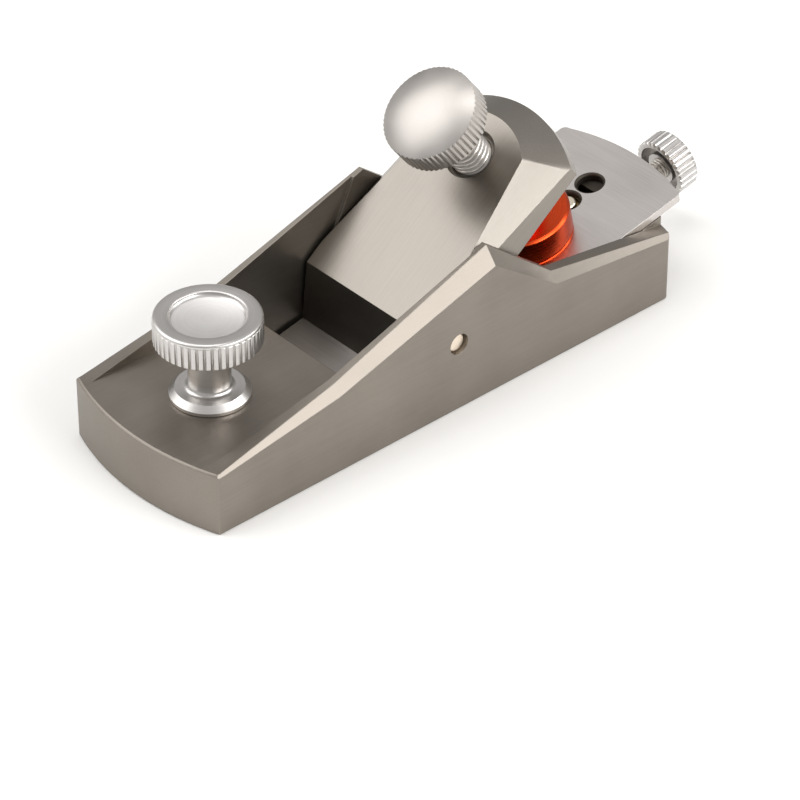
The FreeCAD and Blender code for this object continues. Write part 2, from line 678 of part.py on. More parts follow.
def make_clamp_pad():
    """Ball on the stem, and the two anodised discs that hold it and press on the blade."""
    ball = add_body("pad_ball")
    sketch = add_sketch(ball, "XZ_Plane", "pad_ball_profile")
    radius = "(ball_diameter / 2)"
    mouth = f"({JOURNAL_RADIUS} + journal_fit)"
    floor = f"({radius} - journal_length - ball_fit)"
    shoulder = f"sqrt({radius}^2 - {mouth}^2)"
    draw_outline(sketch, [("0", f"-{radius}"), (mouth, shoulder), (mouth, floor), ("0", floor)],
                 arcs={0: radius})
    turn(ball, "Revolution", sketch, "pad_ball_turning")
    place_in_cap(ball, "screw_along", BALL_DOWN)

    # both discs share a frame whose origin lies on the blade under the ball
    pad_radius = "(pad_diameter / 2)"
    boss = f"({SOCKET_RADIUS} + pad_boss_wall)"
    boss_top = "(ball_height + socket_rise + pad_throat_length)"
    throat = f"sqrt({SOCKET_RADIUS}^2 - socket_rise^2)"
    split = "(pad_split + pad_groove)"
    post = f"({SOCKET_RADIUS} - post_gap)"
    upper = add_body("clamp_pad_upper")
    sketch = add_sketch(upper, "XZ_Plane", "clamp_pad_upper_profile")
    draw_outline(sketch, [
        (SOCKET_RADIUS, split),
        (f"{pad_radius} - 0.2", split),
        (pad_radius, f"{split} + 0.2"),
        (pad_radius, "pad_rim - pad_rim_bevel"),
        (f"{pad_radius} - pad_rim_bevel", "pad_rim"),
        (f"{boss} + 0.8", "pad_rim"),
        (boss, "pad_rim + 1.6"),
        (boss, f"{boss_top} - 0.8"),
        (f"{boss} - 0.8", boss_top),
        (f"{throat} + pad_throat_flare", boss_top),
        (throat, "ball_height + socket_rise"),
        (SOCKET_RADIUS, "ball_height")],
        hollow={10: SOCKET_RADIUS})
    turn(upper, "Revolution", sketch, "clamp_pad_upper_turning")

    lower = add_body("clamp_pad_lower")
    sketch = add_sketch(lower, "XZ_Plane", "clamp_pad_lower_profile")
    draw_outline(sketch, [
        ("0", "0"),
        (f"{pad_radius} - 0.4", "0"),
        (pad_radius, "0.4"),
        (pad_radius, "pad_split - 0.2"),
        (f"{pad_radius} - 0.2", "pad_split"),
        (f"{pad_radius} - pad_groove_depth", "pad_split"),
        (f"{pad_radius} - pad_groove_depth", split),
        (post, split),
        (post, f"ball_height - sqrt({SOCKET_RADIUS}^2 - {post}^2)"),
        ("0", f"ball_height - {SOCKET_RADIUS}")],
        hollow={8: SOCKET_RADIUS})
    turn(lower, "Revolution", sketch, "clamp_pad_lower_turning")
    ball_along = f"(lip_from_edge + screw_along * cos({TILT}) - {BALL_DOWN} * sin({TILT}))"
    for body in (upper, lower):
        place_in_bed(body, ball_along, f"{BLADE_TOP} + lip_gap")
    return ball, upper, lower


def make_front_knob():
    radius = "knob_diameter / 2"
    waist = "knob_waist / 2"
    flange = "knob_flange_diameter / 2"
    knob = turned_body("front_knob", [
        ("0", "0"),
        (flange, "0"),
        (flange, "knob_flange - knob_flange_bevel"),
        (f"{flange} - knob_flange_bevel", "knob_flange"),
        (f"{waist} + knob_flare", "knob_flange"),
        (f"{waist} + knob_flare * 0.35", "knob_flange + knob_flare * 0.45"),
        (waist, "knob_flange + knob_flare * 1.3"),
        (waist, "knob_knurl_base - knob_flare * 0.6"),
        (f"{waist} + knob_flare * 0.6", "knob_knurl_base"),
        (f"{radius} - 0.5", "knob_knurl_base"),
        (radius, "knob_knurl_base + 0.5"),
        (radius, "knob_height - knob_rim"),
        (f"{radius} - knob_rim", "knob_height - knob_rim * 0.3"),
        (f"{radius} - knob_rim * 1.7", "knob_height"),
        ("knob_dish_diameter / 2 + 0.3", "knob_height"),
        ("knob_dish_diameter / 2 - 0.4", "knob_height - knob_dish_depth"),
        ("0", "knob_height - knob_dish_depth")])
    bore(knob, "front_knob_socket", "stud_diameter", "0", "stud_engage", reverse=False)
    stud = turned_body("front_knob_stud", [
        ("0", "-stud_depth"),
        ("stud_diameter / 2 - 0.7", "-stud_depth"),
        ("stud_diameter / 2", "-stud_depth + 0.7"),
        ("stud_diameter / 2", "stud_engage"),
        ("0", "stud_engage")])
    for body in (knob, stud):
        set_place(body, f"{TOE} + knob_from_toe", "deck_height + knob_seat_gap", "0")
    return knob, stud


def make_adjuster():
    """Carriage with its driver pin, spindle on two washers and a clip, bush, knob and grub screw."""
    carriage = add_body("adjuster_carriage")
    side = add_sketch(carriage, "XZ_Plane", "carriage_side")
    bottom = "(-pocket_floor + carriage_floor_gap)"
    top = "(spindle_drop - carriage_top_gap)"
    half = "carriage_length / 2"
    draw_outline(side, [(f"-{half}", bottom), (half, bottom), (half, top), (f"-{half}", top)])
    extrude(carriage, "Pad", side, "carriage_block", "pocket_width - 2 * carriage_side_gap", "Symmetric")
    neck = add_sketch(carriage, "YZ_Plane", "carriage_neck_circle")
    draw_circle(neck, ("0", "0"), "spindle_neck + 2 * neck_fit")
    extrude(carriage, "Pocket", neck, "carriage_neck_bore", "carriage_length + 2", "Symmetric")
    seat = add_sketch(carriage, "XY_Plane", "driver_seat_circle", shift=f"{top} + 1")
    draw_circle(seat, ("0", "0"), f"2 * {DRIVER_RADIUS}")
    extrude(carriage, "Pocket", seat, "driver_seat", "4.5")
    place_in_bed(carriage, "adjuster_from_edge", SPINDLE_W)

    driver = turned_body("adjuster_driver_pin", [
        ("0", f"{top} - 3.5"),
        (DRIVER_RADIUS, f"{top} - 3.5"),
        (DRIVER_RADIUS, "spindle_drop + driver_rise - 0.4"),
        (f"{DRIVER_RADIUS} - 0.4", "spindle_drop + driver_rise"),
        ("0", "spindle_drop + driver_rise")])
    place_in_bed(driver, "adjuster_from_edge", SPINDLE_W)

    hub_end = f"({KNOB_START} + adjuster_knurl - 0.6)"
    spindle = turned_body("adjuster_spindle", [
        ("0", f"{CLIP_START} - spindle_nose"),
        ("spindle_neck / 2", f"{CLIP_START} - spindle_nose"),
        ("spindle_neck / 2", CLIP_START),
        ("clip_groove_diameter / 2", CLIP_START),
        ("clip_groove_diameter / 2", f"{CLIP_START} + clip_thickness"),
        ("spindle_neck / 2", f"{CLIP_START} + clip_thickness"),
        ("spindle_neck / 2", COLLAR_START),
        ("spindle_thread / 2", COLLAR_START),
        ("spindle_thread / 2", hub_end),
        ("0", hub_end)])
    clip = turned_body("spindle_clip", [
        ("clip_groove_diameter / 2", CLIP_START),
        ("clip_diameter / 2", CLIP_START),
        ("clip_diameter / 2", f"{CLIP_START} + clip_thickness"),
        ("clip_groove_diameter / 2", f"{CLIP_START} + clip_thickness")])
    turned = [spindle, clip]
    washer_places = {
        "thrust_washer_front": f"({CARRIAGE_FRONT} - washer_thickness - washer_play)",
        "thrust_washer_rear": f"({CARRIAGE_REAR} + washer_play)"}
    for name, start in washer_places.items():
        turned.append(turned_body(name, [
            ("spindle_neck / 2 + neck_fit", start),
            ("washer_diameter / 2", start),
            ("washer_diameter / 2", f"{start} + washer_thickness"),
            ("spindle_neck / 2 + neck_fit", f"{start} + washer_thickness")]))
    turned.append(turned_body("adjuster_bush", [
        ("spindle_thread / 2 + thread_fit", BUSH_START),
        (BUSH_RADIUS, BUSH_START),
        (BUSH_RADIUS, f"{HEEL_FACE} - bush_flange"),
        (FLANGE_RADIUS, f"{HEEL_FACE} - bush_flange"),
        (FLANGE_RADIUS, f"{HEEL_FACE} + 0.3"),
        (f"{FLANGE_RADIUS} - 0.4", f"{HEEL_FACE} + 0.7"),
        ("spindle_thread / 2 + thread_fit", f"{HEEL_FACE} + 0.7")]))
    cup = "adjuster_cup_diameter / 2"
    hub = "(spindle_thread / 2 + adjuster_hub_wall)"
    rim = "adjuster_knob_diameter / 2"
    web = f"({KNOB_START} + adjuster_cup_depth)"
    knob = turned_body("adjuster_knob", [
        ("spindle_thread / 2", f"{KNOB_START} + 0.4"),
        (hub, f"{KNOB_START} + 0.4"),
        (hub, web),
        (cup, web),
        (cup, KNOB_START),
        (f"{rim} - 0.3", KNOB_START),
        (rim, f"{KNOB_START} + 0.3"),
        (rim, f"{KNOB_START} + adjuster_knurl - 0.5"),
        (f"{rim} - 0.5", f"{KNOB_START} + adjuster_knurl"),
        ("0", f"{KNOB_START} + adjuster_knurl"),
        ("0", hub_end),
        ("spindle_thread / 2", hub_end)])
    grub_along = f"({web} + (adjuster_knurl - adjuster_cup_depth) / 2)"
    drill = add_sketch(knob, "YZ_Plane", "grub_circle")
    draw_circle(drill, ("0", grub_along), "grub_diameter")
    extrude(knob, "Pocket", drill, "grub_bore", "adjuster_knob_diameter", reverse=True)
    turned.append(knob)
    for body in turned:
        place_in_bed(body, "0", SPINDLE_W, spin=90)

    grub = add_body("knob_grub_screw")
    circle = add_sketch(grub, "YZ_Plane", "grub_screw_circle", shift="spindle_thread / 2")
    draw_circle(circle, ("0", grub_along), "grub_diameter")
    extrude(grub, "Pad", circle, "grub_screw_rod", "grub_length")
    place_in_bed(grub, "0", SPINDLE_W, spin=90)
    turned.append(grub)
    return [carriage, driver] + turned


def check_document():
    """Stops before writing if any object failed or any sub-part is empty or unsound."""
    for item in doc.Objects:
        if "Invalid" in item.State or "Error" in item.State:
            raise RuntimeError(f"{item.Name} failed: {item.State}")
    for body in [item for item in doc.Objects if item.isDerivedFrom("PartDesign::Body")]:
        shape = body.Shape
        if shape.isNull() or not shape.isValid() or len(shape.Solids) != 1:
            raise RuntimeError(f"{body.Label} has no single sound solid")


make_plane_body()
make_cross_pin()
make_blade()
make_lever_cap()
make_lever_screw()
make_clamp_pad()
make_front_knob()
make_adjuster()
doc.recompute()
check_document()

os.makedirs("parts", exist_ok=True)
for body in [item for item in doc.Objects if item.isDerivedFrom("PartDesign::Body")]:
    body.Shape.exportStep(f"parts/{body.Label}.step")
    box = body.Shape.BoundBox
    print(f"{body.Label}: {body.Shape.Volume:.1f} mm3, x {box.XMin:.1f} to {box.XMax:.1f},"
          f" z {box.ZMin:.1f} to {box.ZMax:.1f}")
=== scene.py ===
import json
import math

import bmesh
import bpy
from mathutils import Matrix, Vector


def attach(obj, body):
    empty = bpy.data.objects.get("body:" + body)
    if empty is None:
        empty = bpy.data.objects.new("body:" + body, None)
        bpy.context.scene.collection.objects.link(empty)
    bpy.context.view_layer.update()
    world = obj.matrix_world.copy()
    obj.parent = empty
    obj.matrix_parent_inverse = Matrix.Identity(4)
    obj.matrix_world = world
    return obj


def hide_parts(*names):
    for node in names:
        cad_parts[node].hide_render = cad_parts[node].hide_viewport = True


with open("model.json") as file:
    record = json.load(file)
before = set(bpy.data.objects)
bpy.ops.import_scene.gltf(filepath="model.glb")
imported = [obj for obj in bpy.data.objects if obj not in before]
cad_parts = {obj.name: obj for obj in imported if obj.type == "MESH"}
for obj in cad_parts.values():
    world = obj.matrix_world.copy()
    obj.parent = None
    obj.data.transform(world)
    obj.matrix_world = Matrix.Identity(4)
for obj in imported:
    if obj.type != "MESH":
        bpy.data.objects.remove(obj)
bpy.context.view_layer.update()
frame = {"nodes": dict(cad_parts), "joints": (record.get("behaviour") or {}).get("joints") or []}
joints = {joint["name"]: joint for joint in frame["joints"]}
mm = 0.001
weld = 2e-6  # metres: points nearer than this are joined
axisWeld = 1e-7  # the same for the points that lie on a turned part's axis
crispAngles = {"turned": 32, "knurled": 38, "thread": 40, "broken": 50}  # edges sharper than this stay crisp
print("frame loaded")


# helpers

def linearColour(hexColour):
    channels = [int(hexColour[i:i + 2], 16) / 255 for i in (1, 3, 5)]
    return tuple(c / 12.92 if c <= 0.04045 else ((c + 0.055) / 1.055) ** 2.4 for c in channels) + (1.0,)


def addNode(tree, kind, values=None, links=None, **settings):
    node = tree.nodes.new(kind)
    for name, setting in settings.items():
        setattr(node, name, setting)
    for socket, number in (values or {}).items():
        node.inputs[socket].default_value = number
    for socket, source in (links or {}).items():
        tree.links.new(source, node.inputs[socket])
    return node


def axisPlace(point, axis):
    # a local frame whose Z runs along an axis, and whose Y is the plane's own across direction
    along = Vector(axis).normalized()
    side = Vector((0, 1, 0))
    place = Matrix((side.cross(along), side, along)).transposed().to_4x4()
    place.translation = Vector(point)
    return place


def reach(node, place):
    # lowest and highest point of a CAD node along a local frame's Z, in millimetres
    back = place.inverted()
    heights = [(back @ v.co).z / mm for v in frame["nodes"][node].data.vertices]
    return min(heights), max(heights)


def smoothMesh(mesh, angle):
    mesh.polygons.foreach_set("use_smooth", [True] * len(mesh.polygons))
    mesh.set_sharp_from_angle(angle=math.radians(angle))
    return mesh


def addPiece(name, mesh, material, body, slot, *stands):
    mesh.materials.clear()
    mesh.materials.append(material)
    mesh.polygons.foreach_set("material_index", [0] * len(mesh.polygons))
    piece = bpy.data.objects.new(name, mesh)
    bpy.context.scene.collection.objects.link(piece)
    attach(piece, body)
    if stands:
        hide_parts(*stands)
    return piece


def finishFaces(piece, material, chosen):
    # gives a second material to the faces that chosen(middle, normal) picks: a second finish, or painted
    # shade
    piece.data.materials.append(material)
    for face in piece.data.polygons:
        if chosen(face.center / mm, face.normal):
            face.material_index = len(piece.data.materials) - 1


def finishNode(node, material):
    for slot in frame["nodes"][node].material_slots:
        slot.material = material


def brokenEdges(node, width, angle=28, segments=2, flatAngle=0.5):
    # a CAD node's shape with its triangles joined and its sharp edges broken, as a file leaves them
    made = bmesh.new()
    made.from_mesh(frame["nodes"][node].data)
    bmesh.ops.remove_doubles(made, verts=made.verts, dist=weld)
    bmesh.ops.dissolve_limit(made, angle_limit=math.radians(flatAngle), verts=made.verts, edges=made.edges)
    made.normal_update()
    sharp = [edge for edge in made.edges
             if len(edge.link_faces) == 2 and edge.calc_face_angle(0) > math.radians(angle)]
    bmesh.ops.bevel(made, geom=sharp, offset=width * mm, offset_type="OFFSET", segments=segments,
                    profile=0.5, affect="EDGES", clamp_overlap=True)
    mesh = bpy.data.meshes.new(node)
    made.to_mesh(mesh)
    made.free()
    smoothMesh(mesh, crispAngles["broken"])
    holder = bpy.data.objects.new(node + "Holder", mesh)  # large flat faces keep their own shading
    bpy.context.scene.collection.objects.link(holder)
    weighted = holder.modifiers.new("flatFaces", "WEIGHTED_NORMAL")
    weighted.mode, weighted.weight, weighted.keep_sharp = "FACE_AREA", 80, True
    bpy.context.view_layer.update()
    result = bpy.data.meshes.new_from_object(holder.evaluated_get(bpy.context.evaluated_depsgraph_get()))
    bpy.data.objects.remove(holder)
    return result


def roundCorners(outline, corners, steps=4):
    # rounds the named corners of a turned part's outline: {which point: radius}
    smooth = []
    for index, point in enumerate(outline):
        if index not in corners:
            smooth.append(tuple(point))
            continue
        here = Vector(point[:2])
        before = (Vector(outline[index - 1][:2]) - here).normalized()
        after = (Vector(outline[(index + 1) % len(outline)][:2]) - here).normalized()
        half = before.angle(after) / 2
        radius = corners[index]
        middle = here + (before + after).normalized() * (radius / math.sin(half))
        first = here + before * (radius / math.tan(half)) - middle
        last = here + after * (radius / math.tan(half)) - middle
        sweep = math.atan2(first.x * last.y - first.y * last.x, first.dot(last))
        for step in range(steps + 1):
            turn = sweep * step / steps
            smooth.append((middle.x + first.x * math.cos(turn) - first.y * math.sin(turn),
                           middle.y + first.x * math.sin(turn) + first.y * math.cos(turn)) + tuple(point[2:]))
    return smooth


def turnedSlice(name, outline, span, profile):
    # one slice of a turned part; profile says how deep the knurl cuts at each step across the slice, and
    # an outline point's third value says how much of that depth is cut there
    made = bmesh.new()
    columns = []
    for step, depth in profile:
        turn = span * step
        column = []
        for point in outline:
            radius = (point[0] - depth * (point[2] if len(point) > 2 else 0)) * mm
            column.append(made.verts.new((radius * math.cos(turn), radius * math.sin(turn), point[1] * mm)))
        columns.append(column)
    closed = outline[0][0] > 0 or outline[-1][0] > 0
    count = len(outline)
    for left, right in zip(columns, columns[1:]):
        for index in range(count if closed else count - 1):
            after = (index + 1) % count
            made.faces.new((left[index], right[index], right[after], left[after]))
    bmesh.ops.remove_doubles(made, verts=made.verts, dist=axisWeld)
    mesh = bpy.data.meshes.new(name)
    made.to_mesh(mesh)
    made.free()
    return mesh


def repeatTree(name, linear):
    # repeats a mesh, each one a step further along Z or a step further round it, and joins the repeats
    # into one skin
    tree = bpy.data.node_groups.new(name, "GeometryNodeTree")
    sockets = tree.interface
    sockets.new_socket("Geometry", in_out="OUTPUT", socket_type="NodeSocketGeometry")
    sockets.new_socket("Piece", in_out="INPUT", socket_type="NodeSocketGeometry")
    sockets.new_socket("Count", in_out="INPUT", socket_type="NodeSocketInt")
    sockets.new_socket("Step", in_out="INPUT", socket_type="NodeSocketFloat")
    sockets.new_socket("Finish", in_out="INPUT", socket_type="NodeSocketMaterial")
    entry = addNode(tree, "NodeGroupInput")
    step = addNode(tree, "ShaderNodeCombineXYZ", links={"Z": entry.outputs["Step"]})
    if linear:
        row = addNode(tree, "GeometryNodeMeshLine",
                      links={"Count": entry.outputs["Count"], "Offset": step.outputs[0]})
        repeated = addNode(tree, "GeometryNodeInstanceOnPoints",
                           links={"Points": row.outputs["Mesh"], "Instance": entry.outputs["Piece"]})
    else:
        row = addNode(tree, "GeometryNodeMeshLine", {"Offset": (0, 0, 0)}, {"Count": entry.outputs["Count"]})
        index = addNode(tree, "GeometryNodeInputIndex")
        turn = addNode(tree, "ShaderNodeVectorMath", operation="SCALE",
                       links={0: step.outputs[0], "Scale": index.outputs["Index"]})
        repeated = addNode(tree, "GeometryNodeInstanceOnPoints",
                           links={"Points": row.outputs["Mesh"], "Instance": entry.outputs["Piece"],
                                  "Rotation": turn.outputs["Vector"]})
    real = addNode(tree, "GeometryNodeRealizeInstances", links={"Geometry": repeated.outputs["Instances"]})
    joined = addNode(tree, "GeometryNodeMergeByDistance", {"Distance": weld},
                     {"Geometry": real.outputs["Geometry"]})
    finish = addNode(tree, "GeometryNodeSetMaterial",
                     links={"Geometry": joined.outputs["Geometry"], "Material": entry.outputs["Finish"]})
    addNode(tree, "NodeGroupOutput", links={"Geometry": finish.outputs["Geometry"]})
    return tree


knurlTree = repeatTree("knurlRound", linear=False)
threadTree = repeatTree("threadTurns", linear=True)


def repeatMesh(mesh, tree, count, step, material, place):
    # runs the tree, keeps its result as a plain mesh in its place, and drops the modifier
    maker = bpy.data.objects.new(mesh.name, mesh)
    bpy.context.scene.collection.objects.link(maker)
    modifier = maker.modifiers.new("repeat", "NODES")
    modifier.node_group = tree
    sockets = {item.name: item.identifier for item in tree.interface.items_tree if item.in_out == "INPUT"}
    modifier[sockets["Count"]] = count
    modifier[sockets["Step"]] = step
    modifier[sockets["Finish"]] = material
    bpy.context.view_layer.update()
    result = bpy.data.meshes.new_from_object(maker.evaluated_get(bpy.context.evaluated_depsgraph_get()))
    maker.modifiers.remove(modifier)
    bpy.data.objects.remove(maker)
    made = bmesh.new()
    made.from_mesh(result)
    bmesh.ops.remove_doubles(made, verts=made.verts, dist=weld)
    openEdges = [edge for edge in made.edges if edge.is_boundary]
    if openEdges:
        bmesh.ops.holes_fill(made, edges=openEdges, sides=0)
    bmesh.ops.recalc_face_normals(made, faces=made.faces)
    made.to_mesh(result)
    made.free()
    result.transform(place)
    return result


# how far across one ridge, and what share of the cut's depth
ridgeProfile = ((0.0, 1.0), (0.1, 0.75), (0.22, 0.12), (0.36, 0.0),
                (0.64, 0.0), (0.78, 0.12), (0.9, 0.75), (1.0, 1.0))
plainProfile = ((0.0, 0.0), (0.5, 0.0), (1.0, 0.0))
threadForm = {"steps": 48, "points": 8, "fullness": 1.3, "gap": 0.03, "buried": 0.2}


def turnedMesh(name, outline, material, place, count=72, depth=0.0):
    profile = [(step, cut * depth) for step, cut in ridgeProfile] if depth else plainProfile
    span = 2 * math.pi / count
    mesh = repeatMesh(turnedSlice(name, outline, span, profile), knurlTree, count, span, material, place)
    return smoothMesh(mesh, crispAngles["knurled" if depth else "turned"])


def threadMesh(name, sizes, material, place):
    # one turn of the thread's ridge, repeated at the pitch
    made = bmesh.new()
    root, pitch, gap = sizes["root"], sizes["pitch"], threadForm["gap"]
    steps, points = threadForm["steps"], threadForm["points"]
    depth, buried = sizes["crest"] - root, root - threadForm["buried"]
    crest = [(root + depth * math.sin(math.pi * k / points) ** threadForm["fullness"],
              gap + (1 - 2 * gap) * k / points) for k in range(points + 1)]
    ridge = [(buried, gap)] + crest + [(buried, 1 - gap)]
    rings = []
    for step in range(steps + 1):
        turn = 2 * math.pi * step / steps
        rings.append([made.verts.new((r * mm * math.cos(turn), r * mm * math.sin(turn),
                                      (sizes["start"] + pitch * (z + step / steps)) * mm)) for r, z in ridge])
    for left, right in zip(rings, rings[1:]):
        for index in range(len(ridge)):
            after = (index + 1) % len(ridge)
            made.faces.new((left[index], right[index], right[after], left[after]))
    mesh = bpy.data.meshes.new(name)
    made.to_mesh(mesh)
    made.free()
    thread = repeatMesh(mesh, threadTree, sizes["turns"], pitch * mm, material, place)
    return smoothMesh(thread, crispAngles["thread"])


# materials

def newMaterial(name):
    material = bpy.data.materials.new(name)
    material.use_nodes = True
    tree = material.node_tree
    tree.nodes.clear()
    shader = addNode(tree, "ShaderNodeBsdfPrincipled")
    addNode(tree, "ShaderNodeOutputMaterial", links={"Surface": shader.outputs["BSDF"]})
    coordinates = addNode(tree, "ShaderNodeTexCoord")
    return material, tree, shader, coordinates.outputs["Object"]


def metalFinish(name, look, place=None):
    # cloudy tone, grit, and long streaks: straight where the metal was ground, rings where it was turned
    material, tree, shader, spot = newMaterial(name)
    if place is not None:
        back = place.inverted()
        local = addNode(tree, "ShaderNodeMapping", {"Location": back.to_translation(),
                                                    "Rotation": back.to_euler("XYZ")}, {"Vector": spot})
        spot = local.outputs["Vector"]
    streakSpot = spot
    if look.get("turned"):
        flat = addNode(tree, "ShaderNodeVectorMath", {1: (1, 1, 0)}, {0: spot}, operation="MULTIPLY")
        radius = addNode(tree, "ShaderNodeVectorMath", links={0: flat.outputs["Vector"]}, operation="LENGTH")
        height = addNode(tree, "ShaderNodeSeparateXYZ", links={"Vector": spot})
        ringSpot = addNode(tree, "ShaderNodeCombineXYZ",
                           links={"X": radius.outputs["Value"], "Y": height.outputs["Z"]})
        streakSpot = ringSpot.outputs["Vector"]
    stretch = addNode(tree, "ShaderNodeMapping", {"Scale": [1000 / length for length in look["streaks"]]},
                      {"Vector": streakSpot})
    streak = addNode(tree, "ShaderNodeTexNoise", {"Scale": 1.0, "Detail": 3.0},
                     {"Vector": stretch.outputs["Vector"]})
    cloud = addNode(tree, "ShaderNodeTexNoise", {"Scale": 1000 / look["cloud"], "Detail": 3.0},
                    {"Vector": spot})
    grit = addNode(tree, "ShaderNodeTexNoise", {"Scale": 1000 / look["grit"], "Detail": 2.0},
                   {"Vector": spot})
    tone = addNode(tree, "ShaderNodeMix", {0: look["streakShare"]},
                   {2: cloud.outputs["Fac"], 3: streak.outputs["Fac"]})
    ramp = addNode(tree, "ShaderNodeValToRGB", links={"Fac": tone.outputs[0]})
    for stop, position, colour in zip(ramp.color_ramp.elements, (0.3, 0.7), look["colours"]):
        stop.position, stop.color = position, linearColour(colour)
    rough = addNode(tree, "ShaderNodeMapRange", {
        "From Min": 0.3, "From Max": 0.7, "To Min": look["rough"][0], "To Max": look["rough"][1]},
        {"Value": tone.outputs[0]})
    relief = addNode(tree, "ShaderNodeMix", {0: look["gritShare"]},
                     {2: streak.outputs["Fac"], 3: grit.outputs["Fac"]})
    colour = ramp.outputs["Color"]
    # painted shade: the colour darkens towards the cutting edge, where the cap and the walls shade the blade
    if "shade" in look:  # darker towards the cutting edge: depth is the share of the colour left there
        start, end, depth = look["shade"]
        along = addNode(tree, "ShaderNodeSeparateXYZ", links={"Vector": spot})
        dark = addNode(tree, "ShaderNodeMapRange",
                       {"From Min": start * mm, "From Max": end * mm, "To Min": depth, "To Max": 1.0},
                       {"Value": along.outputs["X"]})
        colour = addNode(tree, "ShaderNodeVectorMath", links={0: colour, "Scale": dark.outputs["Result"]},
                         operation="SCALE").outputs["Vector"]
    bump = addNode(tree, "ShaderNodeBump", {"Strength": look["bump"], "Distance": look["relief"] * mm},
                   {"Height": relief.outputs[0]})
    shader.inputs["Metallic"].default_value = 1.0
    for socket, source in (("Base Color", colour), ("Roughness", rough.outputs["Result"]),
                           ("Normal", bump.outputs["Normal"])):
        tree.links.new(source, shader.inputs[socket])
    return material


# bead-blasted stainless steel: a soft warm grey with a fine sparkle and no mirror in it
bodyLook = {"streaks": (11.0, 0.5, 0.5), "cloud": 16.0, "grit": 0.3, "streakShare": 0.3, "gritShare": 0.8,
            "colours": ("#878078", "#958e85"), "rough": (0.39, 0.47), "bump": 0.3, "relief": 0.06}
# bead-blasted and then surface-ground stainless steel: the same grey, crossed by faint straight lines
capLook = {"streaks": (12.0, 0.3, 0.3), "cloud": 18.0, "grit": 0.25, "streakShare": 0.45, "gritShare": 0.6,
           "colours": ("#8e8881", "#9a948c"), "rough": (0.31, 0.38), "bump": 0.18, "relief": 0.05}
# lapped tool steel: satin, paler, and crossed by fine lines; its front carries painted shade
bladeLook = {"streaks": (0.3, 14.0, 0.3), "cloud": 20.0, "grit": 0.2, "streakShare": 0.6, "gritShare": 0.35,
             "shade": (18.0, 34.0, 0.42), "colours": ("#cbc5c1", "#d9d4d0"), "rough": (0.3, 0.4),
             "bump": 0.12, "relief": 0.03}
# turned and satin-finished stainless steel: bright, with fine lathe rings
knobLook = {"turned": True, "streaks": (0.35, 0.35, 0.35), "cloud": 8.0, "grit": 0.2, "streakShare": 0.6,
            "gritShare": 0.3, "colours": ("#c6c3c0", "#d4d1ce"), "rough": (0.29, 0.36),
            "bump": 0.03, "relief": 0.02}
# the lever screw's face is satin all over, and a shade darker
screwKnobLook = dict(knobLook, colours=("#b4afaa", "#c0bbb6"), rough=(0.34, 0.4), bump=0.0, streakShare=0.2)
# the grip's dish is blasted before its rim is polished, so it stays evenly pale
dishLook = dict(knobLook, colours=("#dcd9d7", "#e6e4e2"), rough=(0.5, 0.58), bump=0.03)
# cut steel thread: a little darker and greasier than the knob
screwLook = dict(knobLook, colours=("#b5b0aa", "#c9c4be"), rough=(0.26, 0.36), bump=0.04)
# turned brass: yellow, satin from its lathe rings
brassLook = dict(knobLook, colours=("#d2b070", "#e6cc90"), rough=(0.24, 0.34), bump=0.08)
# turned pin: a plain steel rod whose warm face is painted paler than steel, painted light that makes up for
# the shade of its recess
pinLook = dict(knobLook, colours=("#f0e0cc", "#fbeedd"), rough=(0.3, 0.4), bump=0.08)
# red anodised aluminium: the metal shows through the dye, so its highlights run to orange
padLook = {"turned": True, "streaks": (0.35, 0.35, 0.35), "cloud": 9.0, "grit": 0.2, "streakShare": 0.5,
           "gritShare": 0.4, "colours": ("#d4421f", "#e25428"), "rough": (0.24, 0.32),
           "bump": 0.08, "relief": 0.02}
# turned nickel silver: the palest of the yellow metals, so the pin's end looks like ivory
driverLook = dict(brassLook, colours=("#e8dcc4", "#f4ead6"))
# painted shade: steel coloured a dark dull grey inside the body and in the drilled bores, where shade falls
insideShadeLook = {"streaks": (0.6, 9.0, 0.6), "cloud": 7.0, "grit": 0.4, "streakShare": 0.5, "gritShare": 0.6,
              "colours": ("#3c3731", "#57514a"), "rough": (0.5, 0.64), "bump": 0.3, "relief": 0.06}

# places of the pieces, from the frame's joints

ballHeight = 12.0  # millimetres from the blade's face to the middle of the ball
bedAxis = Vector(joints["blade_depth"]["axis"]).normalized() * -1  # up the bed, from the edge to the heel
bedNormal = bedAxis.cross(Vector((0, 1, 0)))
ballPoint = Vector(joints["screw_turn"]["pos_m"])
screwPlace = axisPlace(ballPoint, joints["screw_turn"]["axis"])
gripPlace = axisPlace(joints["front_knob_turn"]["pos_m"], (0, 0, 1))
spindlePlace = axisPlace(joints["adjuster_turn"]["pos_m"], bedAxis)
padPlace = axisPlace(ballPoint - bedNormal * ballHeight * mm, bedNormal)
bedEdge = Vector((-22.0, 0, 0))  # where the cutting edge meets the sole
bedPlace = axisPlace(bedEdge * mm, bedNormal)
pinPlace = axisPlace(joints["cap_tilt"]["pos_m"], (0, 0, 1))

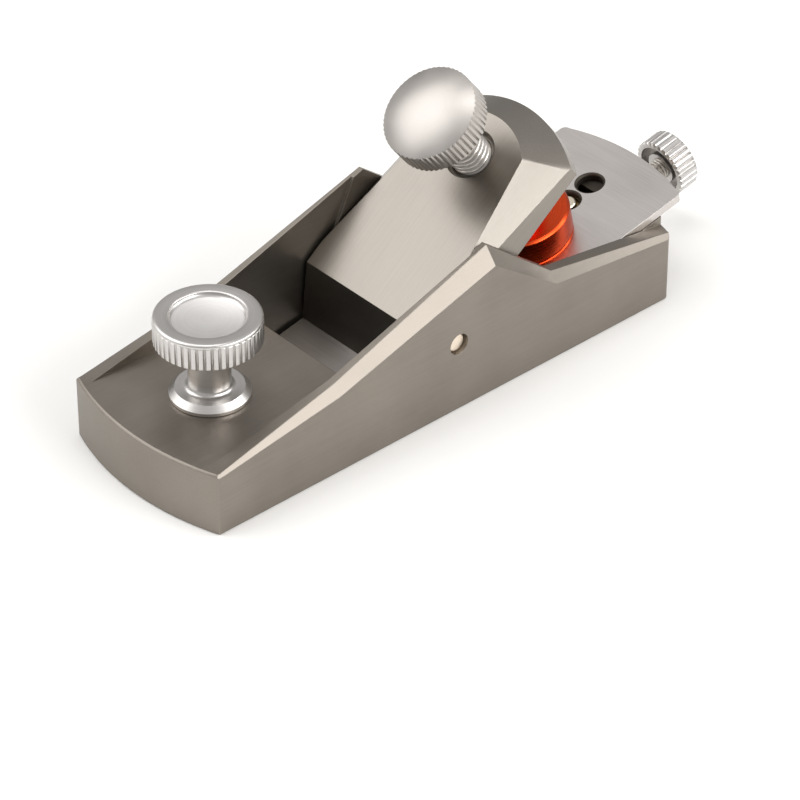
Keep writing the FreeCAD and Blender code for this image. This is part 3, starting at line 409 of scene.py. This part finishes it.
bodySteel = metalFinish("blasted stainless steel", bodyLook)
capSteel = metalFinish("ground stainless steel", capLook, screwPlace)
bladeSteel = metalFinish("lapped tool steel", bladeLook, bedPlace)
screwKnobSteel = metalFinish("satin turned stainless steel", screwKnobLook, screwPlace)
gripSteel = metalFinish("polished stainless steel grip", knobLook, gripPlace)
dishSteel = metalFinish("blasted stainless steel dish", dishLook, gripPlace)
adjusterSteel = metalFinish("polished stainless steel adjuster", knobLook, spindlePlace)
screwSteel = metalFinish("cut steel thread", screwLook, screwPlace)
spindleSteel = metalFinish("cut steel spindle", screwLook, spindlePlace)
studSteel = metalFinish("cut steel stud", screwLook, gripPlace)
brass = metalFinish("turned brass", brassLook, spindlePlace)
pinSteel = metalFinish("turned pin steel", pinLook, pinPlace)
padRed = metalFinish("red anodised aluminium", padLook, padPlace)
driverSilver = metalFinish("turned nickel silver", driverLook, spindlePlace)
insideShadeSteel = metalFinish("oiled unfinished steel", insideShadeLook, bedPlace)
print("materials made")


# body and its fixed pieces

edgeSizes = {"body": 0.22, "cap": 0.2, "blade": 0.12, "pin": 0.1, "bush": 0.1}
insideSizes = {"halfWidth": 19.1, "front": -23.6, "lowest": 0.4, "heelFace": 55.0, "heelFacing": 0.8}
boreSizes = {"places": (80.1, 87.5), "reach": 3.7}


def isInside(middle, normal):
    onHeel = middle.x > insideSizes["heelFace"] and normal.x > insideSizes["heelFacing"]
    return (abs(middle.y) < insideSizes["halfWidth"] and middle.x > insideSizes["front"]
            and middle.z > insideSizes["lowest"] and not onHeel)


def isBore(middle, normal):
    along = (middle - bedEdge).dot(bedAxis)
    return any(math.hypot(along - place, middle.y) < boreSizes["reach"] for place in boreSizes["places"])


body = addPiece("planeBody", brokenEdges("plane_body", edgeSizes["body"]), bodySteel,
                "frame_body", "body_steel", "plane_body")
# painted shade: the faces inside the body are given the dark steel
finishFaces(body, insideShadeSteel, isInside)
addPiece("leverCap", brokenEdges("lever_cap", edgeSizes["cap"]), capSteel, "lever", "cap_steel", "lever_cap")
iron = addPiece("bladeIron", brokenEdges("blade", edgeSizes["blade"], segments=1), bladeSteel,
                "iron", "blade_steel", "blade")
# painted shade: the blade's drilled bores are given the dark steel
finishFaces(iron, insideShadeSteel, isBore)
addPiece("crossPin", brokenEdges("cross_pin", edgeSizes["pin"]), pinSteel,
         "frame_body", "pin_steel", "cross_pin")
addPiece("driverPin", brokenEdges("adjuster_driver_pin", edgeSizes["pin"]), driverSilver,
         "iron", "brass", "adjuster_driver_pin")
addPiece("adjusterBush", brokenEdges("adjuster_bush", edgeSizes["bush"]), brass,
         "frame_body", "brass", "adjuster_bush")
for node, material in (("front_knob_stud", studSteel), ("pad_ball", screwSteel), ("adjuster_carriage", brass),
                       ("thrust_washer_front", brass), ("thrust_washer_rear", brass),
                       ("spindle_clip", spindleSteel), ("knob_grub_screw", spindleSteel)):
    finishNode(node, material)
print("body, cap and blade made")


# lever screw

screwKnobSizes = {"radius": 11.1, "ridges": 56, "ridgeDepth": 0.34, "ridgeStart": 0.5, "ridgeEnd": 0.18,
                  "underBevel": 0.55, "boss": 4.6, "dome": 2.6, "domeSteps": 12}
stemSizes = {"root": 3.95, "crest": 4.75, "pitch": 1.5, "start": 6.9, "turns": 18, "journal": 2.5,
             "shoulder": 6.3, "lead": 3.4, "inKnob": 0.2}
screwLow, screwHigh = reach("lever_screw_knob", screwPlace)
stemLow = reach("lever_screw_stem", screwPlace)[0]


def screwKnobShape(radius, ridges, ridgeDepth, ridgeStart, ridgeEnd, underBevel, boss, dome, domeSteps):
    # the face is part of a ball; the ridges stop just short of it
    ballRadius = (radius ** 2 + dome ** 2) / (2 * dome)
    radii = [radius, radius - ridgeEnd] + [radius * (1 - k / domeSteps) for k in range(1, domeSteps)]
    face = [(r, screwHigh - ballRadius + math.sqrt(ballRadius ** 2 - r ** 2), 1.0 if r == radius else 0.0)
            for r in radii]
    outline = [(0, screwLow, 0), (boss, screwLow, 0), (radius - underBevel, screwLow, 0),
               (radius, screwLow + ridgeStart, 1)] + face + [(0, screwHigh, 0)]
    return turnedMesh("leverScrewKnob", outline, screwKnobSteel, screwPlace, ridges, ridgeDepth)


def stemShape(root, start, journal, shoulder, lead, inKnob, **thread):
    top = screwLow + inKnob
    outline = [(0, stemLow), (journal, stemLow), (journal, shoulder), (lead, shoulder), (root, start),
               (root, top), (0, top)]
    return turnedMesh("leverScrewStem", outline, screwSteel, screwPlace)


addPiece("leverScrewKnob", screwKnobShape(**screwKnobSizes), screwKnobSteel,
         "lever_screw", "knob_metal", "lever_screw_knob")
addPiece("leverScrewStem", stemShape(**stemSizes), screwSteel,
         "lever_screw", "screw_steel", "lever_screw_stem")
addPiece("leverScrewThread", threadMesh("leverScrewThread", stemSizes, screwSteel, screwPlace), screwSteel,
         "lever_screw", "screw_steel")
print("lever screw made")


# front grip

gripSizes = {"radius": 11.8, "ridges": 46, "ridgeDepth": 0.38, "ridgeStart": 0.45, "ridgeEnd": 1.0,
             "knurlBase": 13.9, "underBevel": 0.5, "height": 20.4, "waist": 4.65, "neckFlare": 1.5,
             "flange": 8.85, "edge": 0.15, "chamfer": 1.3, "foot": 2.2, "footFlare": 1.2,
             "rim": {"inset": 0.95, "width": 0.85, "height": 0.6, "step": 0.1, "stepShare": 0.2},
             "lip": {"inset": 0.75, "width": 0.6, "height": 0.4,
                     "wall": 0.1, "round": 0.4, "roundHeight": 0.3},
             "dish": 8.2, "dishDepth": 1.1, "dishFace": {"lowest": 19.0, "facing": 0.99, "inset": 0.5}}


def gripShape(radius, ridges, ridgeDepth, ridgeStart, ridgeEnd, knurlBase, underBevel, height, waist,
              neckFlare, flange, edge, chamfer, foot, footFlare, rim, lip, dish, dishDepth, **finish):
    quarter = [math.pi / 2 * k / 6 for k in range(7)]
    flangeCurve = [(0, 0, 0), (flange - edge, 0, 0), (flange, edge, 0), (flange, foot - chamfer, 0),
                   (flange - chamfer, foot, 0)]
    footCurve = [(waist + footFlare * (1 - math.sin(turn)), foot + footFlare * (1 - math.cos(turn)), 0)
                 for turn in quarter]
    neckCurve = [(waist + neckFlare * (1 - math.cos(turn)), knurlBase - neckFlare * (1 - math.sin(turn)), 0)
                 for turn in quarter]
    ridgeCurve = [(radius - underBevel, knurlBase, 0), (radius, knurlBase + ridgeStart, 1),
                  (radius, height - ridgeEnd, 1),
                  (radius - rim["step"], height - ridgeEnd + rim["step"], rim["stepShare"])]
    rimCurve = [(radius - rim["inset"] + rim["width"] * math.cos(turn),
                 height - rim["height"] * (1 - math.sin(turn)), 0) for turn in quarter]
    lipCurve = [(dish + lip["inset"] - lip["width"] * math.sin(turn),
                 height - lip["height"] * (1 - math.cos(turn)), 0) for turn in quarter[1:]]
    dishCurve = [(dish - lip["wall"] - lip["round"] * math.sin(turn),
                  height - dishDepth + lip["roundHeight"] * (1 - math.sin(turn)), 0) for turn in quarter[::2]]
    outline = (flangeCurve + footCurve + neckCurve + ridgeCurve + rimCurve + lipCurve + dishCurve
               + [(0, height - dishDepth, 0)])
    return turnedMesh("frontGrip", outline, gripSteel, gripPlace, ridges, ridgeDepth)


gripCentre = Vector(joints["front_knob_turn"]["pos_m"]) / mm


def isDish(middle, normal):
    face = gripSizes["dishFace"]
    return (middle.z > gripCentre.z + face["lowest"] and normal.z > face["facing"]
            and (middle - gripCentre).xy.length < gripSizes["dish"] - face["inset"])


grip = addPiece("frontGrip", gripShape(**gripSizes), gripSteel, "front_grip", "knob_metal", "front_knob")
finishFaces(grip, dishSteel, isDish)
print("front grip made")


# clamp pad

padSizes = {"radius": 12.3, "split": 1.0, "groove": 0.35, "grooveDepth": 0.8, "edge": 0.2, "baseBevel": 0.4,
            "rim": 7.8, "rimBevel": 0.6, "boss": 6.5, "bossTop": 15.0, "bossBevel": 0.8, "flare": 0.8,
            "flareHeight": 1.6, "mouth": 5.3, "lip": (4.0, 13.7), "socket": 4.35,
            "cup": ((4.2, 10.8), (3.0, 8.85), (1.5, 7.92), (0, 7.65)),
            "rounds": {3: 0.25, 4: 0.2, 6: 0.6}}  # which point of the upper disc's outline, and its radius


def padShapes(radius, split, groove, grooveDepth, edge, baseBevel, rim, rimBevel, boss, bossTop, bossBevel,
              flare, flareHeight, mouth, lip, socket, cup, rounds):
    # both discs; the cup under the ball is four straight steps, which reach a little way into the ball
    base = split + groove
    upper = [(socket, base), (radius - edge, base), (radius, base + edge), (radius, rim - rimBevel),
             (radius - rimBevel, rim), (boss + flare, rim), (boss, rim + flareHeight),
             (boss, bossTop - bossBevel), (boss - bossBevel, bossTop), (mouth, bossTop), lip,
             (socket, ballHeight)]
    lower = [(0, 0), (radius - baseBevel, 0), (radius, baseBevel), (radius, split - edge),
             (radius - edge, split), (radius - grooveDepth, split), (radius - grooveDepth, base),
             (cup[0][0], base)] + list(cup)
    return (turnedMesh("clampPadUpper", roundCorners(upper, rounds), padRed, padPlace),
            turnedMesh("clampPadLower", lower, padRed, padPlace))


upperDisc, lowerDisc = padShapes(**padSizes)
addPiece("clampPadUpper", upperDisc, padRed, "clamp_pad", "pad_red", "clamp_pad_upper")
addPiece("clampPadLower", lowerDisc, padRed, "clamp_pad", "pad_red", "clamp_pad_lower")
print("clamp pad made")


# depth adjuster

adjusterSizes = {"radius": 7.15, "ridges": 28, "ridgeDepth": 0.5, "ridgeStart": 0.2, "ridgeEnd": 0.55,
                 "corner": 0.5, "bevel": 0.8, "cup": 5.8, "cupDepth": 3.0, "hub": 3.8, "hubSetBack": 0.4,
                 "bore": 2.5}
spindleSizes = {"root": 2.05, "crest": 2.5, "pitch": 0.8, "neck": 1.8, "groove": 1.4, "collarGap": 0.05,
                "collarLength": 0.4, "relief": 0.8, "threadStart": 0.7, "threadEnd": 0.9, "seat": (0.6, 1.0)}
knobLow, knobHigh = reach("adjuster_knob", spindlePlace)
spindleLow, spindleHigh = reach("adjuster_spindle", spindlePlace)
clipLow, clipHigh = reach("spindle_clip", spindlePlace)
collar = reach("thrust_washer_rear", spindlePlace)[1] + spindleSizes["collarGap"]


def adjusterShape(radius, ridges, ridgeDepth, ridgeStart, ridgeEnd, corner, bevel, cup, cupDepth, hub,
                  hubSetBack, bore):
    outline = [(bore, knobLow + hubSetBack, 0), (hub, knobLow + hubSetBack, 0), (hub, knobLow + cupDepth, 0),
               (cup, knobLow + cupDepth, 0), (cup, knobLow, 0), (radius - corner, knobLow, 0),
               (radius, knobLow + ridgeStart, 1), (radius, knobHigh - ridgeEnd, 1),
               (radius - bevel, knobHigh, 0), (bore, knobHigh, 0)]
    return turnedMesh("adjusterKnob", outline, adjusterSteel, spindlePlace, ridges, ridgeDepth)


def spindleShape(root, crest, neck, groove, collarLength, relief, seat, **thread):
    outline = [(0, spindleLow), (neck, spindleLow), (neck, clipLow), (groove, clipLow), (groove, clipHigh),
               (neck, clipHigh), (neck, collar), (crest, collar), (crest, collar + collarLength),
               (root, collar + relief), (root, knobLow + seat[0]), (crest, knobLow + seat[1]),
               (crest, spindleHigh), (0, spindleHigh)]
    return turnedMesh("adjusterSpindle", outline, spindleSteel, spindlePlace)


addPiece("adjusterKnob", adjusterShape(**adjusterSizes), adjusterSteel,
         "adjuster", "knob_metal", "adjuster_knob")
addPiece("adjusterSpindle", spindleShape(**spindleSizes), spindleSteel,
         "adjuster", "screw_steel", "adjuster_spindle")
threadStart = collar + spindleSizes["threadStart"]
threadLength = knobLow + spindleSizes["threadEnd"] - threadStart
threadSizes = dict(spindleSizes, start=threadStart, turns=int(threadLength / spindleSizes["pitch"]))
addPiece("adjusterThread", threadMesh("adjusterThread", threadSizes, spindleSteel, spindlePlace),
         spindleSteel, "adjuster", "screw_steel")
print("adjuster made")


# floor, light and camera

stageSizes = {"floor": 8.0, "drop": 0.0002, "paper": "#f7f6f4", "paperRough": 0.9, "paperShine": 0.1,
              "aimHeight": 0.02}
half = stageSizes["floor"] / 2
floorMesh = bpy.data.meshes.new("floor")
floorMesh.from_pydata([(-half, -half, 0), (half, -half, 0), (half, half, 0), (-half, half, 0)], [],
                      [(0, 1, 2, 3)])
floor = bpy.data.objects.new("floor", floorMesh)
floor.location = (0, 0, -stageSizes["drop"])
bpy.context.scene.collection.objects.link(floor)
# matt card: white, with no sheen
paper, paperShader = newMaterial("matt paper")[::2]
paperShader.inputs["Base Color"].default_value = linearColour(stageSizes["paper"])
paperShader.inputs["Roughness"].default_value = stageSizes["paperRough"]
paperShader.inputs["Specular IOR Level"].default_value = stageSizes["paperShine"]
floorMesh.materials.append(paper)

softboxes = {
    # name: (direction from the plane, distance, width, height, radiance)
    "overFar": ((-0.46, 0.56, 0.69), 1.1, 1.1, 1.1, 1.8),
    "nearSide": ((0.14, -0.76, 0.48), 1.2, 0.8, 0.42, 6.5),
    "heelSide": ((0.72, -0.52, 0.46), 1.2, 0.45, 0.5, 4.6),
    "top": ((0.0, 0.05, 1.0), 1.3, 0.5, 0.5, 3.0),
}
for name, (direction, distance, width, height, radiance) in softboxes.items():
    lamp = bpy.data.lights.new(name, "AREA")
    lamp.shape, lamp.size, lamp.size_y = "RECTANGLE", width, height
    lamp.energy = radiance * math.pi * width * height
    lampObject = bpy.data.objects.new(name, lamp)
    away = Vector(direction).normalized()
    lampObject.location = away * distance + Vector((0, 0, stageSizes["aimHeight"]))
    lampObject.rotation_euler = away.to_track_quat("Z", "Y").to_euler()
    bpy.context.scene.collection.objects.link(lampObject)

skyColours = ((0.3, 0.298, 0.295, 1), (0.72, 0.715, 0.71, 1))  # horizon, zenith
world = bpy.data.worlds.new("studio")
world.use_nodes = True
sky = addNode(world.node_tree, "ShaderNodeTexCoord")
skyHeight = addNode(world.node_tree, "ShaderNodeSeparateXYZ", links={"Vector": sky.outputs["Generated"]})
fade = addNode(world.node_tree, "ShaderNodeValToRGB", links={"Fac": skyHeight.outputs["Z"]})
for stop, colour in zip(fade.color_ramp.elements, skyColours):
    stop.color = colour
background = world.node_tree.nodes["Background"]
world.node_tree.links.new(fade.outputs["Color"], background.inputs["Color"])
background.inputs["Strength"].default_value = 1.0
bpy.context.scene.world = world
bpy.context.scene.view_settings.view_transform = "Standard"

cameraSizes = {"place": (-0.4893, -0.5561, 0.5297), "right": (0.7468, -0.6650, 0.0),
               "up": (0.3916, 0.4397, 0.8083), "back": (-0.5375, -0.6037, 0.5888),
               "focal": 185.87, "sensor": 36.0}
lens = bpy.data.cameras.new("camera")
lens.lens, lens.sensor_width = cameraSizes["focal"], cameraSizes["sensor"]
camera = bpy.data.objects.new("camera", lens)
turnMatrix = Matrix((cameraSizes["right"], cameraSizes["up"], cameraSizes["back"])).transposed().to_4x4()
camera.matrix_world = Matrix.Translation(cameraSizes["place"]) @ turnMatrix
bpy.context.scene.collection.objects.link(camera)
bpy.context.scene.camera = camera
print("stage made")
